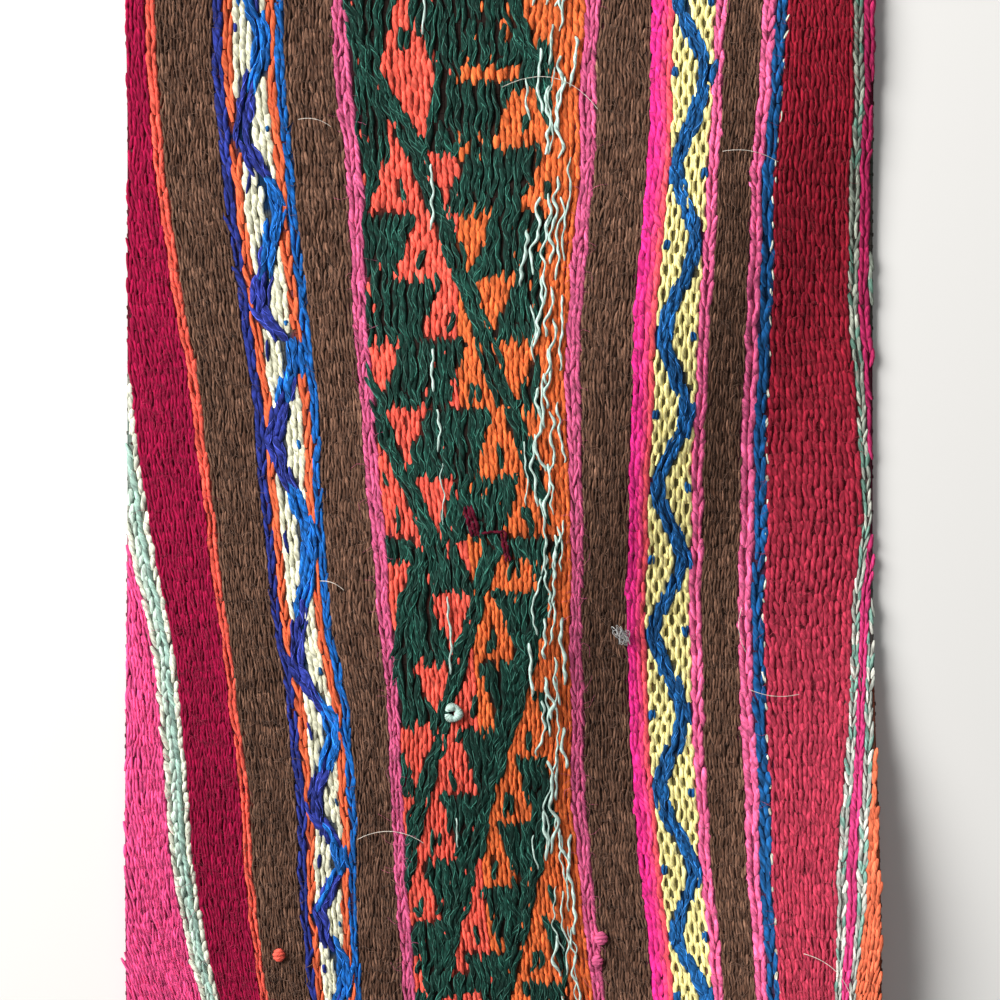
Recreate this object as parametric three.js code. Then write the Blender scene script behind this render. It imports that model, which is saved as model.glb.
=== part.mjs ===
// A cut length of warp-faced striped carrying cloth, lying in soft swells. Millimetres, +Z up.
// X runs across the stripes, Y along the warp, and the cloth rests on the plane Z = 0.
import * as THREE from 'three';
import { mergeVertices } from 'three/addons/utils/BufferGeometryUtils.js';

// Cut size of the cloth
const WIDTH = 125;
const LENGTH = 190;

// Thickness of the plain stripes, and what the wide figured band's extra warp adds to it
const PLAIN_THICKNESS = 1.6;
const FIGURED_FULLNESS = 0.5;

// The wide figured band: its middle line and half width at the far end (+Y) and the near end (-Y)
const FIGURED_BAND = {
  far: { middle: -6, half: 20 },
  near: { middle: 1.5, half: 14.5 },
};

// Soft swells. Each row has a point on the crest, the crest's direction from +X in degrees, how far
// the swell reaches along its crest and down its left and right flanks, and the height of its crest.
const SWELLS = [
  { name: 'main', x: 20, y: 20, turn: 67, along: 112, left: 58, right: 31, height: 8 },
  { name: 'near right', x: 68, y: -72, turn: 60, along: 84, left: 40, right: 40, height: 9 },
  { name: 'near left', x: -66, y: -58, turn: 84, along: 62, left: 24, right: 26, height: 2.4 },
  { name: 'far left', x: -62, y: 92, turn: 20, along: 46, left: 30, right: 30, height: 2.6 },
];

// Cells of the sheet's grid
const CELLS_ACROSS = 32;
const CELLS_ALONG = 46;

// A rounded profile: 1 at the crest, level there and at its foot, and 0 from a distance of 1 on
function rounded(distance) {
  const reach = Math.min(Math.abs(distance), 1);
  return Math.cos((reach * Math.PI) / 2) ** 2;
}

// Height of the underside above the surface. It is 0 wherever no swell reaches.
function lift(x, y) {
  let height = 0;
  for (const swell of SWELLS) {
    const turn = THREE.MathUtils.degToRad(swell.turn);
    const dx = x - swell.x;
    const dy = y - swell.y;
    const along = dx * Math.cos(turn) + dy * Math.sin(turn);
    const rightward = dx * Math.sin(turn) - dy * Math.cos(turn);
    const flank = rightward > 0 ? swell.right : swell.left;
    height += swell.height * rounded(along / swell.along) * rounded(rightward / flank);
  }
  return height;
}

// Thickness of the cloth, which is fuller along the wide figured band
function thickness(x, y) {
  const nearness = 0.5 - y / LENGTH;
  const middle = THREE.MathUtils.lerp(FIGURED_BAND.far.middle, FIGURED_BAND.near.middle, nearness);
  const half = THREE.MathUtils.lerp(FIGURED_BAND.far.half, FIGURED_BAND.near.half, nearness);
  return PLAIN_THICKNESS + FIGURED_FULLNESS * Math.sqrt(rounded((x - middle) / half));
}

// The sheet starts as a flat slab of cells, and its two faces are then set to their heights
function wovenSheet() {
  const slab = new THREE.BoxGeometry(WIDTH, LENGTH, PLAIN_THICKNESS, CELLS_ACROSS, CELLS_ALONG, 1);
  const points = slab.attributes.position;
  for (let i = 0; i < points.count; i += 1) {
    const x = points.getX(i);
    const y = points.getY(i);
    const isUpperFace = points.getZ(i) > 0;
    const underside = lift(x, y);
    points.setZ(i, isUpperFace ? underside + thickness(x, y) : underside);
  }
  slab.deleteAttribute('normal');
  slab.deleteAttribute('uv');
  const sheet = mergeVertices(slab);
  sheet.computeVertexNormals();
  return sheet;
}

const wool = new THREE.MeshStandardMaterial({ color: 0x7a3b30, roughness: 0.95, metalness: 0 });

const cloth = new THREE.Group();
const panel = new THREE.Mesh(wovenSheet(), wool);
panel.name = 'woven_panel';
cloth.add(panel);

export default cloth;
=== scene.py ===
# The looks of a cut length of warp-faced striped carrying cloth, made yarn by yarn.
# Sizes are in millimetres. X runs across the stripes, Y along the warp (far is +Y) and Z up.
import math

import bpy
import numpy as np
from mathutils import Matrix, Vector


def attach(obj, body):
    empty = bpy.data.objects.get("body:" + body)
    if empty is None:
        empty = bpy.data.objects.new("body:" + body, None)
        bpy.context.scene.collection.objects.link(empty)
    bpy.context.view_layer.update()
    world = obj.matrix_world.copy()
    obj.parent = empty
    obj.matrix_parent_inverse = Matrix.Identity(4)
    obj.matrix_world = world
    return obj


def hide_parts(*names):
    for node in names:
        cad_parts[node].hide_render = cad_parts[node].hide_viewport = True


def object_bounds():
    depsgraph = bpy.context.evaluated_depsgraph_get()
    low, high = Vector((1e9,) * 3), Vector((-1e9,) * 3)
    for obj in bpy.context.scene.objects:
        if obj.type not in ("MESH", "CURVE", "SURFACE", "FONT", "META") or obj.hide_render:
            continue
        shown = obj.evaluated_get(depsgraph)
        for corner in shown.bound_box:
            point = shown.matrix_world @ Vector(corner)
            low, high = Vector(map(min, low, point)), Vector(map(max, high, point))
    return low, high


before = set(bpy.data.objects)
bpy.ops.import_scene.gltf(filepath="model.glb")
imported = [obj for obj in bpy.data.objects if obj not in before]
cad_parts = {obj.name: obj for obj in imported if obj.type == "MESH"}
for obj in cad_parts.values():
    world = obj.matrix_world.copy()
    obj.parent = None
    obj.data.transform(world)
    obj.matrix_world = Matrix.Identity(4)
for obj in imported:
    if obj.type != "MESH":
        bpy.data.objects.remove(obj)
cad_low, cad_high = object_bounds()

MM = 0.001
WIDTH = (cad_high.x - cad_low.x) / MM
LENGTH = (cad_high.y - cad_low.y) / MM
HALF_WIDTH = WIDTH / 2
HALF_LENGTH = LENGTH / 2
BODY = "root"
NODE = "woven_panel"

dice = np.random.default_rng(seed=7)

# Shape of the cloth, as in the solid

PLAIN_THICKNESS = 1.6
FIGURED_FULLNESS = 0.5
FIGURED_FAR = {"middle": -6.0, "half": 20.0}
FIGURED_NEAR = {"middle": 1.5, "half": 14.5}

# Soft swells: a point on the crest, the crest's direction from +X in degrees, how far the swell
# reaches along its crest and down its left and right flanks, and the height of its crest
SWELLS = [
    {"x": 20, "y": 20, "turn": 67, "along": 112, "left": 58, "right": 31, "height": 8},
    {"x": 68, "y": -72, "turn": 60, "along": 84, "left": 40, "right": 40, "height": 9},
    {"x": -66, "y": -58, "turn": 84, "along": 62, "left": 24, "right": 26, "height": 2.4},
    {"x": -62, "y": 92, "turn": 20, "along": 46, "left": 30, "right": 30, "height": 2.6},
]


def rounded(distance):
    """1 at the crest, level there and at its foot, and 0 from a distance of 1 on."""
    return np.cos(np.minimum(np.abs(distance), 1) * np.pi / 2) ** 2


def lift(x, y):
    """Height of the underside above the surface."""
    height = np.zeros(np.broadcast(x, y).shape)
    for swell in SWELLS:
        turn = math.radians(swell["turn"])
        dx = x - swell["x"]
        dy = y - swell["y"]
        along = dx * math.cos(turn) + dy * math.sin(turn)
        rightward = dx * math.sin(turn) - dy * math.cos(turn)
        flank = np.where(rightward > 0, swell["right"], swell["left"])
        height = height + swell["height"] * rounded(along / swell["along"]) * rounded(rightward / flank)
    return height


def face_height(x, y):
    """Height of the upper face, which is fuller along the wide figured band."""
    nearness = 0.5 - y / LENGTH
    middle = FIGURED_FAR["middle"] + (FIGURED_NEAR["middle"] - FIGURED_FAR["middle"]) * nearness
    half = FIGURED_FAR["half"] + (FIGURED_NEAR["half"] - FIGURED_FAR["half"]) * nearness
    fullness = FIGURED_FULLNESS * np.sqrt(rounded((x - middle) / half))
    return lift(x, y) + PLAIN_THICKNESS + fullness


# Lay of the warp: where the edges of some stripes are seen, at places along the cloth from near to far

LAY_COLUMNS = (
    "along", "left", "coral", "side", "wide_left", "wide_right", "zigzag", "blue", "red", "right")
LAY = np.array([
    (-95, -46.5, -36.5, -22.6, -13.5, 16.8, 30.0, 47.6, 56.0, 58.0),
    (-70, -53.0, -40.4, -23.6, -14.9, 13.9, 27.8, 45.8, 56.0, 60.6),
    (-52, -55.6, -41.8, -24.0, -16.1, 12.1, 25.6, 45.2, 56.7, 61.6),
    (-37, -56.7, -43.4, -25.1, -16.8, 12.1, 24.6, 44.4, 58.3, 62.2),
    (-21, -58.7, -45.2, -27.9, -17.9, 11.7, 24.4, 43.9, 58.6, 62.8),
    (-2, -62.8, -47.6, -29.3, -19.3, 11.7, 24.7, 44.6, 60.2, 64.4),
    (16, -65.5, -49.9, -30.4, -21.1, 11.1, 25.3, 44.6, 59.4, 64.2),
    (35, -68.8, -52.8, -32.5, -22.5, 11.7, 26.4, 45.3, 58.2, 63.4),
    (52, -71.6, -55.2, -33.9, -22.6, 13.0, 28.2, 45.8, 58.2, 63.4),
    (69, -73.6, -57.0, -35.6, -24.6, 13.5, 28.6, 47.2, 58.9, 64.0),
    (95, -76.0, -57.6, -36.8, -26.0, 15.4, 28.7, 48.8, 59.4, 64.4),
])
LAY_ALONG = LAY[:, 0]
LAY_ACROSS = LAY[:, 1:].T
LAY_SLOPES = np.gradient(LAY_ACROSS, LAY_ALONG, axis=1)
GUIDES = {name: number for number, name in enumerate(LAY_COLUMNS[1:])}


def guide_x(guide, along):
    """Where guides are seen at places along the cloth, on smooth curves through the table's places."""
    step = np.clip(np.searchsorted(LAY_ALONG, along) - 1, 0, len(LAY_ALONG) - 2)
    span = LAY_ALONG[step + 1] - LAY_ALONG[step]
    t = (along - LAY_ALONG[step]) / span
    value = LAY_ACROSS[guide, step] * (1 - t) ** 2 * (1 + 2 * t)
    value = value + LAY_ACROSS[guide, step + 1] * t ** 2 * (3 - 2 * t)
    value = value + LAY_SLOPES[guide, step] * span * t * (1 - t) ** 2
    return value - LAY_SLOPES[guide, step + 1] * span * t ** 2 * (1 - t)


# Stripes from left to right: the guides that they lie between, their name, their width in warp ends and their
# columns of stitches. Stripes between the same two guides share the room by their widths.
STRIPES = [
    ("left", "coral", "white_line", 5, 4),
    ("left", "coral", "crimson", 11.5, 17),
    ("left", "coral", "coral_line", 2, 2),
    ("coral", "side", "brown", 12, 17),
    ("coral", "side", "royal_line", 2.2, 2),
    ("coral", "side", "orange_line", 2, 2),
    ("coral", "side", "side_figure", 7, 5),
    ("coral", "side", "orange_line", 2, 2),
    ("coral", "side", "sky_line", 2, 2),
    ("side", "wide_left", "brown", 10, 14),
    ("side", "wide_left", "pink_line", 3, 3),
    ("wide_left", "wide_right", "wide_figure", 38, 38),
    ("wide_right", "zigzag", "pink_line", 3, 3),
    ("wide_right", "zigzag", "brown", 11, 16),
    ("wide_right", "zigzag", "neon_line", 4.5, 4),
    ("zigzag", "blue", "zigzag", 10, 8),
    ("zigzag", "blue", "right_pink", 2.6, 2),
    ("zigzag", "blue", "brown", 8.5, 12),
    ("zigzag", "blue", "right_pink", 3.0, 2),
    ("zigzag", "blue", "blue_line", 2.9, 2),
    ("blue", "red", "red", 14, 16),
    ("red", "right", "pale_edge", 2, 2),
    ("red", "right", "edge_line", 2, 2),
    ("red", "right", "pale_edge", 2, 2),
]
ROSE_FIELD_ENDS = 24
ROSE_FIELD_COLUMNS = 34
ORANGE_FIELD_COLUMNS = 10

# Picks (weft rows) lie closer together towards the near end. A plain stitch takes two of them.
PICK_FAR = 1.03
PICK_NEAR = 0.875
PICKS = 2 * round(LENGTH / (PICK_FAR + PICK_NEAR))
PICK_STEPS = np.linspace(PICK_FAR, PICK_NEAR, PICKS)
PICK_LINES = HALF_LENGTH - np.cumsum(PICK_STEPS) * LENGTH / PICK_STEPS.sum()
ROW_LINES = PICK_LINES[::2]
ROWS = len(ROW_LINES)

# Yarn colours, linear
PALETTE = {
    "white": (0.80, 0.82, 0.68),
    "mint": (0.60, 0.76, 0.66),
    "teal": (0.40, 0.60, 0.52),
    "crimson": (0.365, 0.0045, 0.053),
    "coral": (0.92, 0.125, 0.085),
    "dark_brown": (0.078, 0.036, 0.022),
    "light_brown": (0.235, 0.124, 0.081),
    "royal": (0.020, 0.032, 0.22),
    "bright_blue": (0.008, 0.115, 0.42),
    "zigzag_blue": (0.008, 0.085, 0.255),
    "cream": (0.80, 0.79, 0.60),
    "pink": (0.71, 0.122, 0.278),
    # Painted light: right_pink is the pink yarn painted about 1.4 times lighter, for the light on its part of
    # the cloth
    "right_pink": (0.97, 0.160, 0.370),
    "edge_pink": (0.42, 0.020, 0.100),
    "neon": (0.98, 0.034, 0.31),
    "orange": (0.80, 0.165, 0.045),
    "side_orange": (0.82, 0.150, 0.060),
    "field_orange": (0.96, 0.205, 0.098),
    "green": (0.0035, 0.029, 0.021),
    "yellow": (1.0, 0.89, 0.38),
    "red": (0.318, 0.0105, 0.028),
    "rose": (0.97, 0.101, 0.318),
    "burgundy": (0.095, 0.002, 0.015),
    "edge_green": (0.13, 0.26, 0.20),
    "edge_grey": (0.25, 0.29, 0.24),
    "edge_pale": (0.42, 0.46, 0.38),
    "weft": (0.050, 0.026, 0.020),
    "pale_mint": (0.49, 0.66, 0.60),
    "pale_hair": (0.80, 0.74, 0.66),
    "lint": (0.62, 0.64, 0.64),
}
PALETTE = {name: np.array(colour) for name, colour in PALETTE.items()}


def list_columns():
    """Every column of stitches from left to right: its stripe, its place there, its two guides, and its
    middle and width as shares of the room between them. Also what is needed to find places in each stripe."""
    columns = []
    bands = {}
    room = {}
    for start, stop, _, width, _ in STRIPES:
        room[start, stop] = room.get((start, stop), 0) + width

    def add(name, guides, first, width, count):
        start, stop = (GUIDES[guide] for guide in guides)
        for place in range(count):
            fraction = (first + (place + 0.5) * width / count) / room[guides]
            columns.append((name, place, start, stop, fraction, width / count / room[guides]))
        bands[name] = {"guides": (start, stop), "first": first, "room": room[guides], "width": width,
                       "count": count}

    add("rose_field", STRIPES[0][:2], -ROSE_FIELD_ENDS, ROSE_FIELD_ENDS, ROSE_FIELD_COLUMNS)
    used = {}
    for start, stop, name, width, count in STRIPES:
        first = used.get((start, stop), 0)
        add(name, (start, stop), first, width, count)
        used[start, stop] = first + width
    last = STRIPES[-1][:2]
    add("orange_field", last, room[last], ORANGE_FIELD_COLUMNS, ORANGE_FIELD_COLUMNS)
    return columns, bands


COLUMNS, BANDS = list_columns()
STRIPE, PLACE, START, STOP, FRACTION, PITCH = (np.array(each) for each in zip(*COLUMNS))

# Each column strays a little, nearly as its neighbour does, on waves of these lengths and amplitudes
STRAY_WAVES = [(61.0, 0.16), (23.0, 0.12), (9.0, 0.07)]
STRAY_CHANCE = 0.45
STRAY_PHASE = np.cumsum(dice.normal(0, STRAY_CHANCE, (len(STRAY_WAVES), len(COLUMNS))), axis=1)

# The camera sees a raised place farther from the middle than it is
CAMERA_HEIGHT = 370.0
MEAN_HEIGHT = 4.0


def unseen(x, along):
    """Where a place that is seen at x really lies, since the cloth is raised there."""
    return x * (1 - (face_height(x, along) - MEAN_HEIGHT) / CAMERA_HEIGHT)


def stray(column, along):
    """Sideways stray of columns, one row for each."""
    moved = np.zeros_like(along)
    for wave, (length, amplitude) in enumerate(STRAY_WAVES):
        phase = STRAY_PHASE[wave][column][:, None]
        moved = moved + amplitude * np.sin(2 * np.pi * along / length + phase)
    return moved


def column_guides(column, along):
    """Where the left guide of columns is seen, and the room from there to their right guide."""
    start = guide_x(START[column][:, None], along)
    return start, guide_x(STOP[column][:, None], along) - start


def column_x(column, along):
    """Place across the cloth of columns, one row for each, at places along the cloth."""
    start, room = column_guides(column, along)
    return unseen(start + room * FRACTION[column][:, None] + stray(column, along), along)


def column_pitch(column, along):
    """Distance from column to column."""
    return column_guides(column, along)[1] * PITCH[column][:, None]


def band_x(name, place, along):
    """Place across the cloth inside a band, counted in warp ends from the band's left edge."""
    band = BANDS[name]
    start, stop = (guide_x(guide, along) for guide in band["guides"])
    return unseen(start + (stop - start) * (band["first"] + place) / band["room"], along)


def place_in_band(name, column):
    """Place of columns beside a band's left edge, in warp ends."""
    return FRACTION[column] * BANDS[name]["room"] - BANDS[name]["first"]


# Figures of the three patterned bands

# Wide band, charted in 42 ends. Slanting lines of figure yarn turn back at one pick. On one side of each line
# the ground shows as a chain of teeth, tip far and base near. On the other side of the far lines, and at the
# left of the first near one, it shows as a chain of wedges, base far and tip near.
WIDE_ENDS = 42
TURN_PICK = 103
TURN_END = 38.5
LINE_ENDS = 3.6
TOOTH_TIP_ENDS = 2.2
TOOTH_BASE_ENDS = 12.0
WEDGE_ENDS = 10.0
WEDGE_LASTS = 0.92
# Slope of the lines in ends for each pick, ends from line to line, picks from tooth to tooth, the pick after
# the turn where a tooth of the line that turns begins, and how much later it does on the next line rightward
FAR_HALF = {"slope": 0.445, "spacing": 29.5, "period": 11.4, "first": -0.9, "later": 0.4}
NEAR_HALF = {"slope": 0.43, "spacing": 16.0, "period": 12.2, "first": 1.0, "later": -7.0}
GROUND = 0
FIGURE = 1
LINE = 2
# Plain bars across the band: first and last end, first and last pick, and what shows
BARS = [
    (0.0, 4.5, 0.0, 24.0, FIGURE),
    (0.0, 6.0, 24.0, 36.0, FIGURE),
    (18.5, 27.5, 6.0, 25.0, FIGURE),
    (27.5, 37.0, 17.0, 25.0, FIGURE),
    (19.5, 30.5, 20.4, 23.0, GROUND),
    (27.5, 39.5, 102.0, 104.0, FIGURE),
    (5.5, 16.5, 182.0, 184.0, FIGURE),
]
# The chart end from which a plain strip of ground runs along the right edge
RIGHT_STRIP_FROM = 36.6
# The far end of the first line has no wedges but a kite of ground beside it, with its own small eye
KITE_ROOM = {"ends": 19.0, "picks": 36.0}
KITE_PICKS = (8.0, 21.7, 34.1)
KITE_HALVES = (0.0, 5.3, 0.0)
KITE_MIDDLES = (8.9, 10.7, 12.4)
KITE_EYE = {"end": 9.9, "pick": 16.0, "half_ends": 0.8, "half_picks": 1.3}
EYE_PHASES = (0.55, 0.80)
EYE_PLACE = 0.48
EYE_ENDS = 1.4


def wide_chart(end, pick):
    """What lies on top in the wide band: its ground, its figure yarn, or that yarn in a slanting line."""
    away = pick - TURN_PICK
    far = away < 0
    part = {key: np.where(far, FAR_HALF[key], NEAR_HALF[key]) for key in FAR_HALF}
    line = TURN_END - part["slope"] * np.abs(away)
    chain = np.floor((end - line) / part["spacing"])
    rightward = end - line - chain * part["spacing"]
    leftward = part["spacing"] - rightward

    def phase(number):
        begun = away - part["first"] - number * part["later"]
        return np.mod(begun, part["period"]) / part["period"]

    tooth_phase = np.where(far, phase(chain + 1), phase(chain))
    wedge_phase = np.where(far, phase(chain), phase(chain + 1))
    tooth = TOOTH_TIP_ENDS + (TOOTH_BASE_ENDS - TOOTH_TIP_ENDS) * tooth_phase
    wedge = WEDGE_ENDS * np.maximum(1 - wedge_phase / WEDGE_LASTS, 0)
    from_tooth_line = np.where(far, leftward, rightward - LINE_ENDS)
    from_wedge_line = np.where(far, rightward - LINE_ENDS, leftward)
    has_wedges = far | (chain < -1)
    has_teeth = far | (chain >= -1)
    in_tooth = has_teeth & (from_tooth_line >= 0) & (from_tooth_line < tooth)
    in_wedge = has_wedges & (from_wedge_line >= 0) & (from_wedge_line < wedge)
    in_eye = np.abs(from_tooth_line - EYE_PLACE * tooth) < EYE_ENDS / 2
    in_eye = in_eye & (tooth_phase > EYE_PHASES[0]) & (tooth_phase < EYE_PHASES[1])
    chart = np.where((in_tooth & ~in_eye) | in_wedge, GROUND, FIGURE)
    chart = np.where(rightward < LINE_ENDS, LINE, chart)
    beside_kite = (chain == 0) & (rightward >= LINE_ENDS)
    beside_kite = beside_kite & (end < KITE_ROOM["ends"]) & (pick < KITE_ROOM["picks"])
    from_kite = np.abs(end - np.interp(pick, KITE_PICKS, KITE_MIDDLES))
    in_kite = from_kite < np.interp(pick, KITE_PICKS, KITE_HALVES)
    in_kite_eye = np.abs(end - KITE_EYE["end"]) < KITE_EYE["half_ends"]
    in_kite_eye = in_kite_eye & (np.abs(pick - KITE_EYE["pick"]) < KITE_EYE["half_picks"])
    chart = np.where(beside_kite, np.where(in_kite & ~in_kite_eye, GROUND, FIGURE), chart)
    past_last_line = far & (chain > 0) & (rightward >= LINE_ENDS)
    chart = np.where(past_last_line | (end > RIGHT_STRIP_FROM), GROUND, chart)
    for first_end, last_end, first_pick, last_pick, shows in BARS:
        inside = (end >= first_end) & (end <= last_end) & (pick >= first_pick) & (pick <= last_pick)
        chart = np.where(inside, shows, chart)
    return chart


# Narrow bands: a blue line swings from side to side. Turns are places along the cloth, by turns at the
# right and at the left. Middle, swing and half width are in warp ends.
ZIGZAG = {
    "turns": (97, 83, 71, 54, 42, 27, 14, 2, -10, -22, -36, -49, -62, -73, -83, -97),
    "middle": 5.0, "swing": 3.3, "half": 1.7,
}
SNAKE = {
    "turns": (104, 90, 78, 61, 50, 32, 25, 10, -7, -28, -39, -51, -60, -70, -79, -90, -100),
    "middle": 3.6, "swing": 3.2, "half": 2.0,
}
# How far each stroke bends into its turn, as an angle of a sine
SWING_BEND = 0.82 * np.pi / 2


def swing_place(line, along):
    """Place of a swinging line in its band: straight strokes with rounded turns."""
    turns = np.array(line["turns"], dtype=float)[::-1]
    sides = (-1.0) ** np.arange(len(turns))[::-1]
    stroke = np.interp(along, turns, sides)
    return line["middle"] + line["swing"] * np.sin(stroke * SWING_BEND) / math.sin(SWING_BEND)


# The chart end from which the wide band's ground is orange
WIDE_ORANGE_FROM = 19
WHITE_LINE_COLOURS = ("white", "mint", "teal", "white")
PALE_EDGE_COLOURS = ("edge_green", "edge_grey", "edge_grey", "edge_pale")
# Painted light: stripes painted paler towards the near end, for the stronger light there: how many times
# lighter each channel is there, and where and how slowly that changes along the cloth
PAINTED_LIGHT_NEAR = {
    "red": (1.77, 4.78, 3.6),
    "edge_line": (1.9, 3.0, 2.5),
    "pale_edge": (2.1, 1.9, 2.1),
}
PAINTED_LIGHT_MIDDLE = -10
PAINTED_LIGHT_LENGTH = 30
# How much of the coral colour each column of the neon line takes on
NEON_SHARES_OF_CORAL = np.array([0.0, 0.08, 0.35, 0.75])


def pick_number(along):
    """Number of the pick at a place along the cloth, as a fraction."""
    return np.interp(-along, -PICK_LINES, np.arange(PICKS))


def wide_end(place):
    """Chart end at a place in the wide band."""
    return place / BANDS["wide_figure"]["width"] * WIDE_ENDS


def on_line(line, place, along):
    """True where a swinging line covers a place in its band."""
    return np.abs(place - swing_place(line, along)) < line["half"]


def covered(column, along):
    """True where a figured band's own yarn lies over a column."""
    stripe = STRIPE[column]
    chart_end = wide_end(place_in_band("wide_figure", column))
    wide = (stripe == "wide_figure") & (wide_chart(chart_end, pick_number(along)) != GROUND)
    beside = np.isin(stripe, ("side_figure", "orange_line"))
    side = beside & on_line(SNAKE, place_in_band("side_figure", column), along)
    zigzag = (stripe == "zigzag") & on_line(ZIGZAG, place_in_band("zigzag", column), along)
    return wide | side | zigzag


PLAIN_COLOURS = {
    "rose_field": "rose",
    "crimson": "crimson",
    "coral_line": "coral",
    "brown": "dark_brown",
    "royal_line": "royal",
    "orange_line": "side_orange",
    "side_figure": "cream",
    "sky_line": "bright_blue",
    "pink_line": "pink",
    "right_pink": "right_pink",
    "neon_line": "neon",
    "zigzag": "yellow",
    "blue_line": "zigzag_blue",
    "red": "red",
    "edge_line": "edge_pink",
    "orange_field": "field_orange",
}
# Brown yarns lie anywhere between the dark and the light brown, spread by a beta rule with these two values
BROWN_SPREAD = (1.3, 1.6)
DARKEST_YARN = 0.7
PALEST_YARN = 1.3


def stitch_colour_names(column):
    """Colour name of each stitch."""
    stripe = STRIPE[column]
    place = PLACE[column]
    names = np.full(len(column), "", dtype="U12")
    for plain, colour in PLAIN_COLOURS.items():
        names[stripe == plain] = colour
    wide = stripe == "wide_figure"
    chart_end = wide_end(place_in_band("wide_figure", column[wide]))
    names[wide] = np.where(chart_end < WIDE_ORANGE_FROM, "coral", "orange")
    white = stripe == "white_line"
    names[white] = np.array(WHITE_LINE_COLOURS)[place[white]]
    pale_edge = stripe == "pale_edge"
    names[pale_edge] = dice.choice(PALE_EDGE_COLOURS, pale_edge.sum())
    return names


def stitch_colours(column, along, unevenness):
    """Linear colours of stitches. The neon line turns coral at its right, and some stripes have painted
    light, paler towards the near end.
    """
    colours = yarn_colours(stitch_colour_names(column), unevenness)
    neon = STRIPE[column] == "neon_line"
    share = NEON_SHARES_OF_CORAL[PLACE[column[neon]]][:, None]
    colours[neon] = colours[neon] * (1 - share) + PALETTE["coral"] * share
    # Painted light: some stripes are painted paler towards the near end
    nearness = 0.5 + 0.5 * np.tanh((PAINTED_LIGHT_MIDDLE - along) / PAINTED_LIGHT_LENGTH)
    for stripe, paler in PAINTED_LIGHT_NEAR.items():
        chosen = STRIPE[column] == stripe
        colours[chosen] *= 1 + (np.array(paler) - 1) * nearness[chosen, None]
    return colours


def yarn_colours(names, unevenness):
    """Linear colours for colour names, each a little lighter or darker than the next."""
    colours = np.array([PALETTE[name] for name in names])
    brown = np.asarray(names) == "dark_brown"
    mix = dice.beta(*BROWN_SPREAD, (brown.sum(), 1))
    colours[brown] = PALETTE["dark_brown"] * (1 - mix) + PALETTE["light_brown"] * mix
    return colours * np.clip(dice.normal(1, unevenness, (len(colours), 1)), DARKEST_YARN, PALEST_YARN)


# Yarn shapes: grids of points, one grid a yarn, with stations along it and points around it

# Sides of a round strand and of a fine fibre
STRAND_SIDES = 5
FINE_SIDES = 3
ARC = np.radians(np.linspace(-90, 90, 7))
FINE_ARC = np.radians(np.linspace(-90, 90, 5))
FLATTENING = 0.75
# The groove between a yarn's two plies swings from side to side as they twist round each other. Its swing and
# width are angles around the yarn, its depth is a share of the yarn's height, and its shade is painted shade
# that darkens the colour in the groove.
GROOVE_SWING = math.radians(55)
GROOVE_WIDTH = math.radians(24)
GROOVE_DEPTH = 0.34
GROOVE_PAINTED_SHADE = 0.55
TWIST_LENGTH = 4.6


def half_round(x, y, half, crest, low, colours, ply, arc=ARC):
    """Two-ply yarns that lie on the cloth. At each station, x and y are the yarn's plan, half its half width,
    and crest and low the heights of its crest and edges above the face. Ply is how much each yarn's plies
    show, from 0 to 1, and arc holds the angles of the points around it."""
    step_x = np.gradient(x, axis=1)
    step_y = np.gradient(y, axis=1)
    step = np.hypot(step_x, step_y)
    across = half[..., None] * np.sin(arc)
    px = x[..., None] + across * (step_y / step)[..., None]
    py = y[..., None] - across * (step_x / step)[..., None]
    turned = 2 * np.pi * (np.cumsum(step, axis=1) / TWIST_LENGTH + dice.random((len(x), 1)))
    groove = np.exp(-((arc - GROOVE_SWING * np.sin(turned)[..., None]) / GROOVE_WIDTH) ** 2)
    groove = groove * np.reshape(ply, (-1, 1, 1))
    profile = np.abs(np.cos(arc)) ** FLATTENING * (1 - GROOVE_DEPTH * groove)
    pz = face_height(px, py) + low[..., None] + (crest - low)[..., None] * profile
    # Painted shade darkens the colour along the groove between the plies
    return yarn_batch(np.stack([px, py, pz], axis=-1), colours, 1 - GROOVE_PAINTED_SHADE * groove)


def round_yarn(path, radius, colours, sides):
    """Yarns that lie free, as tubes of a varying radius along paths of points in space."""
    tangent = np.gradient(path, axis=1)
    tangent /= np.linalg.norm(tangent, axis=2, keepdims=True)
    right = np.cross(tangent, [0.0, 0.0, 1.0])
    right /= np.maximum(np.linalg.norm(right, axis=2, keepdims=True), 1e-6)
    upward = np.cross(right, tangent)
    angle = np.pi - np.linspace(0, 2 * np.pi, sides + 1)
    ring = right[:, :, None] * np.cos(angle)[:, None] + upward[:, :, None] * np.sin(angle)[:, None]
    return yarn_batch(path[:, :, None] + radius[:, :, None, None] * ring, colours)


def yarn_batch(points, colours, shade=1.0):
    """A batch of yarns of one kind, with how far along its yarn each station lies and each point's painted
    shade.
    """
    steps = np.linalg.norm(np.diff(points.mean(axis=2), axis=1), axis=2)
    along = np.concatenate([np.zeros((len(points), 1)), np.cumsum(steps, axis=1)], axis=1)
    shade = np.broadcast_to(shade, points.shape[:3])
    return {"points": points, "colours": colours, "along": along, "shade": shade}


# Meshes

STATIONS_A_CELL = 4
CELL_MARGIN = 0.06
YARN_OFFSETS = 60.0


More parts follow.
